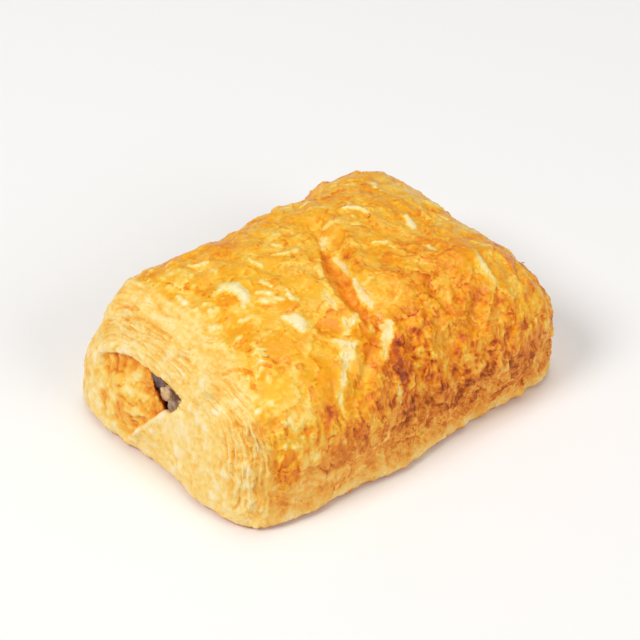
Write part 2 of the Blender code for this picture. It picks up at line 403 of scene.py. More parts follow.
def set_attribute(mesh, name, values):
    """Stores one number, or one vector, for each point."""
    vectors = np.ndim(values) == 2
    layer = mesh.attributes.new(name, "FLOAT_VECTOR" if vectors else "FLOAT", "POINT")
    layer.data.foreach_set("vector" if vectors else "value", np.asarray(values, np.float32).ravel())


# ------------------------------------------------------- where things are
# Places on the puff in millimetres from the middle of its underside: the first
# number is along it, below 0 towards the open end, the second is across it,
# and the third is its height.
LIP_HEIGHT = 27.4            # lower edge of the lip over the mouth
LIP_DROP = 6.0               # how far that edge comes down towards the back
MOUTH_BACK = 26.5            # back end of the mouth, which curves in below the heel, and its front end
MOUTH_HEEL = 10.0
MOUTH_FRONT = -7.5
FLAP_FOOT = 15.0             # where the edge of the folded flap meets the underside
LOBE = (-54, -8.5, 20)       # smooth lobe in front of the slot, at the flap's edge
END_HALF = (41.0, 21.0)      # half the width and half the height of the puff at its ends
FLAP_MIDDLE = 20.4           # lower edge of the flap that closes the far end, and its drop at the sides
FLAP_FALL = 4.4 / 24 ** 2
TUCK_TOP = 13.0              # how far from the middle the tucked sheets under the flap start
HOLLOW_START = -50.5         # where the filling's hollow starts, and how far past the filling its walls reach
HOLLOW_MARGIN = 2.0
RELIEF_LIMIT = 1.3           # most that the relief stands up or sinks in
SLOT_SHADE_TONE = 0.92           # dark tone of the walls behind the slot and of the hollow: painted shade
FLAKE_HALF = (0.0015, 0.0010, 0.0015)       # half the size of a full flake in metres

TEARS = {                    # where the skin tore and pale layers show: corners, each with its half width
    "long tear, its top": (
        (-17, -25.9, 39.2, 0.4), (-15.6, -27.3, 38.7, 0.8), (-14.2, -29.2, 37.8, 1.3),
        (-11.1, -28.9, 37.9, 0.4)),
    "long tear, its stem": (
        (-14.2, -29.2, 37.8, 1.5), (-15.6, -30.5, 37.0, 1.5), (-16.9, -31.6, 36.3, 1.0),
        (-20.3, -34.5, 33.7, 0.9), (-23, -36.3, 31.4, 0.5), (-24, -37.6, 29, 0.7), (-24.4, -38.4, 27.4, 0.4)),
    "knob by the crease": (
        (-10, -21.4, 40.5, 0.7), (-9.8, -23.6, 39.9, 1.4), (-7.1, -22.7, 40.2, 1.0), (-5.1, -22.3, 40.3, 0.4)),
    "foot of the knob": ((-9.4, -23.2, 40, 0.9), (-12, -25.8, 39.3, 0.3)),
    "shreds left of the crease": (
        (-7.9, -11.6, 41.7, 0.4), (-8.3, -13.6, 41.6, 0.9), (-9.1, -16.4, 41.3, 1.1),
        (-9.6, -18.6, 41.1, 0.4)),
    "shreds right of the crease": ((8, 9.5, 41.8, 0.5), (7, 7, 41.9, 1.1), (5.2, 4.2, 41.9, 0.4)),
    "shreds at its middle": (
        (4.4, 0, 41.9, 0.4), (3.9, -2, 41.9, 1.1), (3.3, -6, 41.9, 0.9), (1.9, -10.1, 41.8, 0.4)),
    "shreds at its foot": (
        (1.4, -13.5, 41.6, 0.8), (0.6, -17, 41.2, 1.4), (-0.4, -20.3, 40.8, 0.9), (-1.4, -23.1, 40.1, 0.4)),
    "wedge past the crease": (
        (-4.2, -28.3, 38.2, 0.6), (-1.9, -28.9, 37.9, 1.7), (-3.2, -31.4, 36.3, 1.4), (-5.1, -33.3, 34.9, 0.9),
        (-6.6, -34.9, 33.2, 0.3)),
    "short tear on the side": ((-5.2, -39, 26.4, 0.3), (-5.4, -39.8, 24, 0.9), (-5.6, -40.3, 21.2, 0.3)),
    "split on the back": ((14, 36, 36, 0.4), (12.5, 39, 30, 1.2), (12, 41, 25, 0.8), (13, 42, 20, 0.3)),
    "short split on the back": ((-18, 37, 34, 0.3), (-20, 40, 29, 0.9), (-21, 41, 25, 0.3)),
    "split by the closed end": (
        (36.5, -22, 41, 0.4), (35, -26, 40, 1.1), (34.6, -29, 39, 0.8), (35.6, -32, 37, 0.3)),
    "tear over the closed end": ((47, 8, 41, 0.3), (51, 6, 38, 1.1), (54, 5, 34, 0.4)),
}
BLISTERS = (                 # thin pale skin blown up over steam, its paleness partly a painted highlight: corners, each with its half width
    ((-28.5, 7.1, 41, 1.2), (-26.5, 6.8, 41, 2.1), (-24.8, 4.6, 41, 2.2), (-24.9, 1.7, 41, 2.0),
     (-26.4, -1.3, 41, 1.4), (-28.0, -2.7, 41, 0.7)),
    ((-22.6, -12.6, 41, 1.0), (-20.9, -14.3, 41, 2.0), (-20.8, -16.7, 41, 2.1), (-22, -19.1, 41, 1.0)),
    ((-14.6, 12.3, 42, 0.7), (-13.7, 8.3, 42, 1.0)), ((-8.4, 9.8, 42, 0.7), (-4.8, 7.6, 42, 1.0)),
    ((-3.2, 6.9, 42, 0.9), (-1.6, 7.5, 42, 0.7)), ((-5, 13.9, 42, 0.6), (-3.9, 12.1, 42, 0.8)),
    ((-18.3, 1.9, 42, 1.1), (-17.7, -1.5, 42, 0.6)), ((-15.5, -4.7, 42, 0.5), (-16.6, -8.7, 42, 0.9)),
    ((-21.9, -1.1, 41, 1.0), (-20, -3.1, 42, 1.1)), ((-23.2, -4.1, 41, 1.1), (-21.2, -6.5, 42, 0.9)),
    ((-19.6, -6.3, 42, 0.9), (-18.6, -7.3, 42, 0.6)), ((-36.6, 14.9, 39, 0.7), (-36.5, 10.5, 39, 0.9)),
    ((-26.4, 23.3, 40, 0.7), (-23.2, 19.9, 41, 0.9)), ((-24.2, 15.9, 41, 0.8), (-24.2, 14.3, 41, 0.7)),
    ((-31.6, -5.9, 40, 0.7), (-30, -7.1, 41, 0.8)), ((-38.4, -2.1, 39, 0.9), (-36.9, -1.9, 39, 0.7)),
    ((-35.1, -15.3, 40, 0.6), (-34.8, -18.5, 40, 0.9)),
    ((20, 14, 42, 0.8), (23, 12, 42, 1.3), (24, 9, 42, 0.8)), ((33, 2, 42, 0.9), (31, -2, 42, 1.6)),
    ((14, 26, 41, 0.8), (17, 27, 41, 1.1)), ((38, 22, 40, 1.1), (36, 19, 41, 0.7)),
    ((27, 40, 26, 0.8), (30, 41, 23, 1.1)), ((-34, 40, 24, 0.7), (-31, 41, 21, 1.0)),
    ((16, -3, 42, 0.7), (19, -5, 42, 1.0)), ((28, -12, 42, 0.6), (27, -15, 42, 0.9)),
)
POOLS = {                    # smooth patches where the glaze ran together: centre, radii, tone
    "amber by the band": ((-29.6, -21.8, 40), (5, 6, 5), 0.53),
    "gold over the corner": ((-39, -30.7, 35), (4, 5, 6), 0.43),
    "amber over the side": ((-25.5, -31.9, 36), (6, 6, 6), 0.53),
    "left of the crease": ((-15.3, -22, 40), (3.5, 4, 4), 0.62),
    "past the long tear": ((-8.5, -28.8, 38), (4, 5, 5), 0.58),
    "under the crescent": ((-29.8, 2.6, 41), (2.5, 3, 3), 0.58),
    "beyond the crescent": ((-21.5, 0.6, 41), (2.5, 3.5, 3), 0.49),
    "past the patch": ((-19.3, -9.6, 42), (3, 3, 3), 0.54),
    "low pool": ((-33.5, -6.6, 40), (3.5, 6, 4), 0.53),
    "top back": ((-16, 6, 42), (7, 5, 4), 0.45),
    "beside the crease": ((-11, -6, 42), (5, 6, 4), 0.46),
    "back of the crescent": ((-23, 11.5, 42), (5, 3, 4), 0.47),
    "corner scorch": ((-43.2, -39.6, 18.5), (4.2, 4, 7), 0.66),
    "salmon patch": ((-29, -41, 14.8), (4.6, 4, 4.6), 0.62),
    "side above the salmon patch": ((-20, -38.5, 29), (4, 4, 5), 0.58),
    "top past the crease": ((14, -10, 42), (5, 7, 4), 0.50),
    "far top": ((36, 6, 42), (8, 6, 4), 0.52),
    "far back": ((12, 16, 42), (8, 4, 4), 0.50),
    "far front": ((34, -20, 41), (6, 7, 5), 0.55),
}
CRACKS = (                   # fine cracks along the folded sheet: corners
    ((-44.8, -15.9, 35.5), (-43.3, -16.8, 36.4), (-41.9, -18.5, 37), (-40.8, -21.4, 37.3), (-41.6, -23.7, 36.7),
     (-42.9, -25.1, 35.9)),
    ((-47.4, 28.7, 32.3), (-45.7, 25.1, 34.4), (-45.2, 21.2, 35.1)),
    ((-49.1, 24.3, 32), (-47.4, 21.4, 33.7), (-46.3, 17.5, 34.6), (-46, 11.4, 34.8), (-45.6, 5.8, 35.1)),
    ((-37.6, -22, 38.3), (-36.4, -23.9, 38.3)),
)
DARK_SPOTS = {               # browned places, on the front side past the crease partly a painted shadow: centre, radii, strength
    "deep brown and painted shadow on the side": ((4, -41, 21), (9, 5, 6), 0.19),
    "brown and painted shadow by the short tear": ((-3, -40, 17), (5, 4, 4), 0.10),
    "brown past the long tear": ((-6, -36, 30), (4, 4, 5), 0.22),
    "brown and painted shadow low on the side": ((17, -42, 11), (13, 5, 9), 0.18),
    "upper side": ((-14, -39, 26), (12, 5, 7), 0.03),
    "brown lumps past the crease, partly painted shadow": ((2, -34, 35), (9, 8, 6), 0.17),
    "top past the crease": ((22, -16, 42), (16, 14, 7), 0.03),
    "back edge": ((-20, 30, 36), (20, 7, 6), 0.07),
    "closed end, under the flap": ((58, 0, 12), (5, 12, 7), 0.10),
    "closed end, over the flap": ((57, -6, 29), (5, 20, 5), 0.08),
    "back side": ((14, 41, 24), (20, 6, 8), 0.12),
    "back side low": ((-20, 42, 10), (16, 5, 7), 0.10),
}
ROUGH_SPOTS = (              # where the skin is lumpy and broken: centre, radii, strength
    ((2, -36, 29), (12, 9, 12), 0.9), ((30, -38, 24), (16, 8, 12), 0.6), ((24, -20, 42), (16, 14, 8), 0.35),
    ((10, 41, 26), (26, 7, 12), 0.6), ((-12, 28, 38), (24, 9, 8), 0.35))
CREASE = (                   # middle of the crease over the top, each corner with its half width
    (7.4, 10, 42, 0.4), (4.6, 4, 42, 1.0), (1.6, -3, 42, 2.6), (-1.0, -9, 42, 3.4), (-3.2, -16, 41, 3.0),
    (-4.3, -22, 40, 2.2), (-4.6, -27, 39, 0.8))
SLOT_SHIFTS = (              # what draws the slot to its shape: centre, radii, shift
    ((-53, -8.6, 20.0), (20, 2.7, 4.3), (-0.2, 0, 3.2)), ((-53, -7.0, 27.5), (20, 5.5, 4.5), (0, 0, -2.0)),
    ((-53, -2.0, 20.0), (20, 3.6, 3.2), (0, 1.0, -1.6)))
FILLING_PIECES = (           # pieces that show in the slot: centre, radii, turn in degrees, kind (1 is meat)
    ((-50.1, 4.6, 24.0), (1.9, 2.9, 2.2), 28, 0.0),
    ((-50.3, 1.2, 22.0), (2.0, 2.2, 2.3), -12, 1.0),
    ((-50.8, -3.0, 20.4), (2.2, 2.5, 2.2), 20, 0.35),
    ((-49.2, 3.6, 20.6), (2.4, 3.0, 2.0), 0, 0.1),
    ((-49.0, -1.0, 25.6), (2.2, 3.0, 1.8), 10, 0.15),
)


# --------------------------------------------------- relief of the crust
# c is the crust's surface: it holds, for each of the points p with normals n,
# the masks of its regions, the height of its relief and the marks that colour it.
def mouth(c):
    """How far each point lies under the lip and behind the flap, and inside the mouth."""
    x, y, z = c.p.T
    lip_edge = LIP_HEIGHT - LIP_DROP * np.clip((y - 8) / (MOUTH_BACK - 8), 0, 1.2) ** 2.5
    back_edge = MOUTH_BACK - 9 * np.clip(1 - z / MOUTH_HEEL, 0, 1) ** 2
    flap_edge = MOUTH_FRONT + (FLAP_FOOT - MOUTH_FRONT) * np.clip(1 - z / LIP_HEIGHT, 0, 1) ** 1.1
    c.under, c.behind = lip_edge - z, y - flap_edge
    c.at_end = ramp(-44, -50, x)
    c.inside = c.at_end * ramp(-0.4, 0.8, c.under) * ramp(-0.6, 1.0, back_edge - y) * ramp(-0.6, 1.0, c.behind)


def slot_shift(p):
    """Draws the slot to its shape: the flap's end up over its front corner, the lip down, the tongue back."""
    shift = sum(spot(p, centre, radii)[:, None] * np.array(move) for centre, radii, move in SLOT_SHIFTS)
    return shift * ramp(-46.5, -50, p[:, 0])[:, None]


def throat(p, n):
    """1 on the walls of the slot, behind its rim, which are painted dark: painted shade, partly the filling's
    moisture.
    """
    x, y, z = p.T
    near = ramp(-10, -9, y) * ramp(9.5, 8.5, y) * ramp(17, 18, z) * ramp(30, 29, z)
    return near * ramp(-53.4, -52.2, x) * ramp(-40, -44, x) * ramp(-0.45, -0.1, n[:, 0])


def outer_skin(p):
    """1 on the puff's outside, 0 in the hollow that holds the filling."""
    low, high = (np.array(corner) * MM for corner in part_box("filling"))
    x, y, z = p.T
    depth = np.minimum.reduce([x - HOLLOW_START, high[0] + HOLLOW_MARGIN - x, high[1] + HOLLOW_MARGIN - abs(y),
                               z - low[2] + HOLLOW_MARGIN, high[2] + HOLLOW_MARGIN - z])
    return 1 - ramp(0, 1.0, depth)


def past_band(c):
    """How far each point lies past the layered band of the open end."""
    x, y, z = c.p.T
    edge = -38.0 - 8.0 * ramp(0, -36, y) - 2.5 * ramp(26, 6, z) - 1.5 * ramp(16, 32, y)
    return x - edge + c.wobble


def end_folds(c):
    """At the closed end: how far each point lies above the flap's edge, and beside the edge of a tuck."""
    x, y, z = c.p.T
    bend = 1.3 * c.noise.rough(c.p / 8 + 50, 3) + 0.30 * c.noise.smooth(c.p / 1.7)
    c.above = z - (FLAP_MIDDLE - FLAP_FALL * y * y) + bend
    c.beside = (abs(y) - TUCK_TOP - (18 - z) * (1.0 + 0.012 * y)) * 0.7 + bend
    c.at_closed = ramp(50.5, 54.5, x)
    c.under_flap = ramp(0.2, -0.5, c.above)


def regions(c):
    """Soft masks of the crust's regions, each 0 to 1."""
    p, noise, z = c.p, c.noise, c.p[:, 2]
    c.wobble = 3.0 * noise.rough(p / 9, 3) + 1.1 * noise.smooth(p / 2.4)
    mouth(c)
    end_folds(c)
    c.band = ramp(2.0, -2.0, past_band(c))
    flap_strip = ramp(3.4, 2.2, c.above) * ramp(-0.7, -0.1, c.above)
    tuck_strip = 0.8 * ramp(2.2, 1.2, c.beside) * ramp(-0.5, 0.0, c.beside) * c.under_flap
    c.closed = np.maximum(flap_strip, tuck_strip) * c.at_closed
    c.closed *= 0.6 + 0.4 * ramp(-0.4, 0.2, noise.rough(p / 6 + 29, 3))
    c.upright = ramp(0.75, 0.35, c.n[:, 2])
    c.dry = np.maximum(c.upright * ramp(24, 13, z + 1.5 * c.wobble), c.at_closed * ramp(41, 30, z + 2.0 * c.wobble))
    c.dry *= (1 - c.band) * (1 - c.closed)
    c.beneath = ramp(-0.3, -0.8, c.n[:, 2])
    c.foot = ramp(6.3, 2.0, z + 0.4 * c.wobble) * (1 - c.beneath)
    c.bare = np.maximum(c.band, c.closed)
    c.layered = c.bare * (1 - c.beneath)
    c.skin = (1 - c.layered) * (1 - c.beneath)
    c.warp = np.stack([noise.rough(p / 8 + k * 31.7, 3) for k in range(3)], 1)
    c.buckle = np.stack([noise.rough(p / 2.4 + k * 13.1, 2) for k in range(3)], 1)


def broken_skin(c):
    """Plates of the baked skin: large ones everywhere, small ones in patches, chunks where it is lumpy."""
    p, noise = c.p, c.noise
    c.lumpy = np.clip(sum(s * spot(p, centre, radii) for centre, radii, s in ROUGH_SPOTS), 0, 1)
    rougher = 0.5 * ramp(-12, 22, p[:, 0]) + 0.35 * c.upright + 0.25 * ramp(14, 30, p[:, 1])
    c.patchy = patchy = ramp(-0.15, 0.6, noise.rough(p / 14 + 5, 2) + rougher - 0.3)
    big, big_gap, big_drop, big_number = noise.plates((p + 2.2 * c.warp + 0.3 * c.buckle) / 8.0, 3.0)
    small, small_gap, small_drop, small_number = noise.plates(
        (p + 1.2 * c.warp + 0.3 * c.buckle) / 3.3 + 5, 2.4, 0.2)
    chunk, chunk_gap = noise.plates((p + 1.4 * c.warp + 0.3 * c.buckle) / 4.2 + 11, 3.0, 0.3)[:2]
    c.height = c.skin * c.flake * (
        (0.11 + 0.08 * patchy) * big + (0.04 + 0.13 * patchy) * small + 0.32 * c.lumpy * chunk)
    c.height -= c.skin * c.lumpy * 0.7 * ramp(0.30, 0.0, chunk_gap)
    c.crisp = c.skin * np.maximum(
        ramp(0.16, 0.03, big_gap) * ramp(0.1, 0.9, big_drop),
        (0.25 + 0.75 * patchy) * ramp(0.22, 0.04, small_gap) * ramp(0.1, 0.9, small_drop))
    c.crack = c.skin * np.maximum.reduce([
        ramp(0.12, 0.0, big_gap) * ramp(-0.1, -0.9, big_drop),
        patchy * ramp(0.18, 0.0, small_gap) * ramp(-0.1, -0.9, small_drop),
        c.lumpy * ramp(0.32, 0.0, chunk_gap)])
    c.small, c.number = small, 0.6 * big_number + 0.4 * patchy * small_number


def wrinkles(c):
    """Fine wrinkles: in patches on top, drawn downwards on the sides, crumbly where the dough is dry."""
    p, noise = c.p, c.noise
    wrinkle = noise.ridges((p + 1.2 * c.warp) / 2.6 + 3)
    curl = noise.ridges((p + 2.6 * c.warp) / 5.2 + 23)
    drawn = noise.ridges(p / (2.1, 3.5, 7.5) + 0.6 * c.warp)
    c.front = c.upright * ramp(9, 20, p[:, 2]) * c.skin
    c.crumb = noise.rough((p + 0.6 * c.buckle) / 1.5, 3)
    grains = noise.dots((p + 0.5 * c.buckle) / 1.7 + 27, 0.50, 0.15) * ramp(-0.5, 0.3, noise.smooth(p / 5 + 66))
    c.height += c.skin * (0.10 * c.patchy * wrinkle + 0.16 * np.clip(curl, -0.6, 1) * (1 - c.dry))
    c.height += 0.34 * c.front * drawn + c.dry * (0.30 * c.crumb + 0.12 * wrinkle + 0.28 * grains)
    c.drawn, c.grit = drawn * c.front, (c.crumb - 0.5 * grains) * c.dry


def bubbles(c):
    """Little bubbles, most of them along the edge of the band."""
    p, noise = c.p, c.noise
    along_band = bell(past_band(c), 3.5, 6.5) * ramp(-0.1, 0.5, c.n[:, 2])
    bubbly = np.clip(along_band + 0.30 * ramp(0.2, 0.5, noise.rough(p / 11 + 3, 2)), 0, 1) * c.skin
    c.bubbles = noise.dots((p + 0.8 * c.warp) / 3.1, 0.50, 0.10) * bubbly
    c.height += 0.45 * c.bubbles


def dough_layers(c):
    """Layers of dough in the end bands: they follow the end, and turn inwards over its rim."""
    p, noise, band = c.p, c.noise, c.layered
    x, y, z = p.T
    wide, high = END_HALF
    out = wide * ((abs(y) / wide) ** 4 + (abs(z - high) / high) ** 4) ** 0.25
    ring = abs(x) + 0.8 * np.clip(wide - out, 0, None) * ramp(44, 54, abs(x))
    ring = ring * (1 - c.at_closed) + (60 + 1.2 * c.above) * c.at_closed
    c.seat = np.stack([ring + 1.5 * c.warp[:, 0] + 0.25 * c.buckle[:, 0],
                       y * 0.10 + c.warp[:, 1], z * 0.10 + c.warp[:, 2]], 1)
    c.wide = noise.smooth(c.seat * (0.40, 0.8, 0.8))
    c.fine = noise.smooth(c.seat * (0.95, 1.2, 1.2) + 5)
    ledges, ledge_edge = shingles(0.50 * c.seat[:, 0] + 1.0 * c.wide, 0.25)
    strong = 0.55 + 0.6 * spot(p, (-47, -38, 20), (14, 12, 26)) + 0.5 * noise.rough(p / 9 + 8, 2)
    calm = np.clip(strong, 0.15, 1.3) * (1 - c.inside) * (1 - 0.85 * spot(p, LOBE, (6, 6, 6)))
    calm *= 1 - 0.7 * ramp(-52, -56, x) * ramp(36, 24, abs(y))
    c.calm = np.maximum(calm, c.at_closed)
    c.height += c.layer * band * c.calm * (0.45 * c.wide + 0.42 * c.fine + 0.40 * ledges)
    c.slit = np.maximum(ramp(-0.10, -0.45, c.fine), 0.9 * ledge_edge) * band * c.calm
    c.strip = ramp(0.0, 0.7, noise.smooth(c.seat * (0.27, 0.7, 0.7) + 31)) * c.calm * band
    puffed = noise.dots((p + 1.5 * c.warp) / 4.6 + 7, 0.62, 0.15) * ramp(-0.1, 0.4, noise.rough(p / 8 + 21, 2))
    c.puffed = band * puffed
    fleck = noise.rough((p + 0.8 * c.warp) / 2.0 + 71, 3)
    short = noise.furrows((p + 1.5 * c.warp) / 4.5 + 95, 0.10) * ramp(0.0, 0.4, noise.smooth(p / 5 + 37))
    outer = band * (1 - c.inside) * (1 - spot(p, LOBE, (6, 5, 5))) * (1 - 0.6 * ramp(0.2, 0.7, c.n[:, 2]))
    c.height += 0.45 * c.puffed * (1 - c.inside) + 0.25 * band * noise.rough(p / 5 + 4, 3)
    c.height += outer * (0.20 * fleck - 0.28 * short)
    c.fleck = (0.16 * fleck - 0.17 * short) * outer


def foot_sheets(c):
    """Thin layers along the foot."""
    c.sheets = c.noise.smooth(c.p * (0.12, 0.12, 0.95) + 0.3 * c.warp)
    c.height += c.foot * (0.35 * c.sheets + 0.10 * c.crumb)


def mouth_folds(c):
    """The tongue is blistered, the lip over it is a smooth roll, and the flap ends in a thin edge. Also marks where
    shade is painted under the lip.
    """
    p, noise = c.p, c.noise
    x, y, z = p.T
    dimple = noise.rough(p / 3.3 + 2, 2)
    knob = noise.dots((p + 0.5 * c.buckle) / 2.5 + 41, 0.42, 0.12) * ramp(-0.25, 0.2, noise.smooth(p / 4 + 83))
    wrinkled = noise.furrows((p + 0.8 * c.warp) / 5.5 + 57, 0.13) * ramp(-0.2, 0.2, noise.smooth(p / 6 + 12))
    c.height += c.inside * (0.50 * dimple + 0.55 * knob - 0.45 * wrinkled)
    c.dimple = (0.30 * dimple + 0.24 * knob - 0.18 * wrinkled) * c.inside
    over = ramp(-10, -4, y) * ramp(MOUTH_BACK + 3, MOUTH_BACK - 2, y)
    c.roll = c.at_end * over * bell(c.under, -1.6, 1.5)
    # c.shade: painted shade under the lip, over the tongue.
    c.shade = c.inside * fading(c.under, 2.8) * over
    c.crest = c.at_end * ramp(LIP_HEIGHT, LIP_HEIGHT - 3, z) * ramp(3, 7, z) * bell(c.behind, -0.5, 0.8)
    c.lobe = c.at_end * spot(p, (LOBE[0], LOBE[1], 19.5), (6, 5, 4.5))
    c.height += 0.45 * c.roll - 0.5 * c.shade + 0.5 * c.crest + 0.45 * c.lobe


def glaze_pools(c):
    """Smooth patches with a crisp edge where the glaze ran together, some placed and some by chance."""
    p, noise = c.p, c.noise
    edge = 0.20 * noise.rough(p / 3.2 + 61, 3)
    c.pool = 0.8 * ramp(0.14, 0.36, 0.5 * noise.rough(p / 8 + 90, 2) + edge) * (1 - c.dry) * (1 - c.lumpy)
    c.level = 0.50 + 0.10 * noise.smooth(p / 10 + 44)
    for centre, radii, tone in POOLS.values():
        here = ramp(0.30, 0.45, spot(p, centre, radii) + edge)
        c.level = c.level * (1 - here) + tone * here
        c.pool = np.maximum(c.pool, here)
    c.pool *= c.skin * (1 - c.at_closed)
    c.height *= 1 - 0.55 * c.pool


def cracks_and_crease(c):
    """Fine cracks along the folded sheet, and the crease, a smooth channel over the top."""
    c.crackline = np.zeros(len(c.p))
    for line in CRACKS:
        distance = line_distance(c.p, settled(line, c.tree)) + 0.25 * c.ragged
        split = ramp(0.75, 0.15, distance)
        c.crackline = np.maximum(c.crackline, split)
        c.height += 0.25 * ramp(1.9, 0.9, distance) - 0.75 * split
    within, half = tapered(c.p, CREASE, c.tree)
    inward = within * half + 0.45 * c.ragged
    c.groove = ramp(-0.25, 0.55, inward)
    c.height = c.height * (1 - 0.8 * c.groove) - 0.25 * c.groove - 0.35 * ramp(0.2, 2.6, inward)
    c.height += 0.30 * ramp(-1.6, -0.3, inward) * (1 - c.groove)


def closed_folds(c):
    """The edges of the flap and of the tucked sheets that close the far end."""
    flap = 1.2 * ramp(-0.35, 0.25, c.above) * fading(c.above, 8) - 0.9 * bell(c.above, -0.75, 0.5)
    tuck = 0.9 * ramp(-0.35, 0.25, c.beside) * fading(c.beside, 6) - 0.6 * bell(c.beside, -0.7, 0.45)
    c.height += c.at_closed * flap
    c.height += c.at_closed * c.under_flap * tuck


def blisters(c):
    """Domes of thin pale skin, whose paleness is partly a painted highlight."""
    c.blown = np.zeros(len(c.p))
    for line in BLISTERS:
        widest = max(half for *corner, half in line)
        within = tapered(c.p, line, c.tree)[0] + (0.16 + 0.10 / widest) * c.ragged
        dome = ramp(-0.25, 1.0, within)
        c.blown = np.maximum(c.blown, ramp(-0.10, 0.36, within) * (0.72 + 0.28 * ramp(0.8, 1.5, widest)))
        c.height = c.height * (1 - 0.6 * ramp(0, 0.4, dome)) + (0.42 * widest + 0.05) * dome


def tears(c):
    """Ragged gashes down to pale layers."""
    c.pale, c.halo = np.zeros(len(c.p)), np.zeros(len(c.p))
    shred = 0.32 * c.small + 0.35 * c.crumb
    for line in TEARS.values():
        within, half = tapered(c.p, line, c.tree)
        inward = within * half - 0.05 + 0.50 * c.ragged
        torn = ramp(-0.12, 0.25, inward)
        c.pale = np.maximum(c.pale, torn)
        c.halo = np.maximum(c.halo, ramp(-1.6, -0.1, inward))
        c.height = c.height * (1 - 0.8 * torn) + torn * (0.6 * shred + 0.12)
        c.height += 0.22 * ramp(-0.9, -0.15, inward) * (1 - torn)


def baked_relief(p, n, settings):
    """The crust's surface with all its masks and marks, and its height over the smooth crust."""
    c = SimpleNamespace(p=p, n=n, noise=Noise(settings.seed), tree=search_tree(p),
                        flake=settings.flake_height / 0.0005, layer=settings.layer_height / 0.0004)
    c.ragged = c.noise.rough(p / 1.5 + 9, 3)
    for part in (regions, broken_skin, wrinkles, bubbles, dough_layers, foot_sheets, mouth_folds,
                 glaze_pools, cracks_and_crease, closed_folds, blisters, tears):
        part(c)
    c.height += 0.03 * c.noise.rough(p / 0.9, 2) * (1 - c.beneath)
    c.shown = outer_skin(p)
    c.height = np.clip(c.height, -RELIEF_LIMIT, RELIEF_LIMIT) * c.shown
    whole = (1 - c.groove) * (1 - c.pale) * (1 - c.blown)
    c.strand = c.front * whole * (1 - 0.6 * c.pool)
    c.pool = c.pool * whole
    c.crumbly = np.clip(c.dry + 0.8 * c.pale + 0.5 * c.foot, 0, 1)
    return c


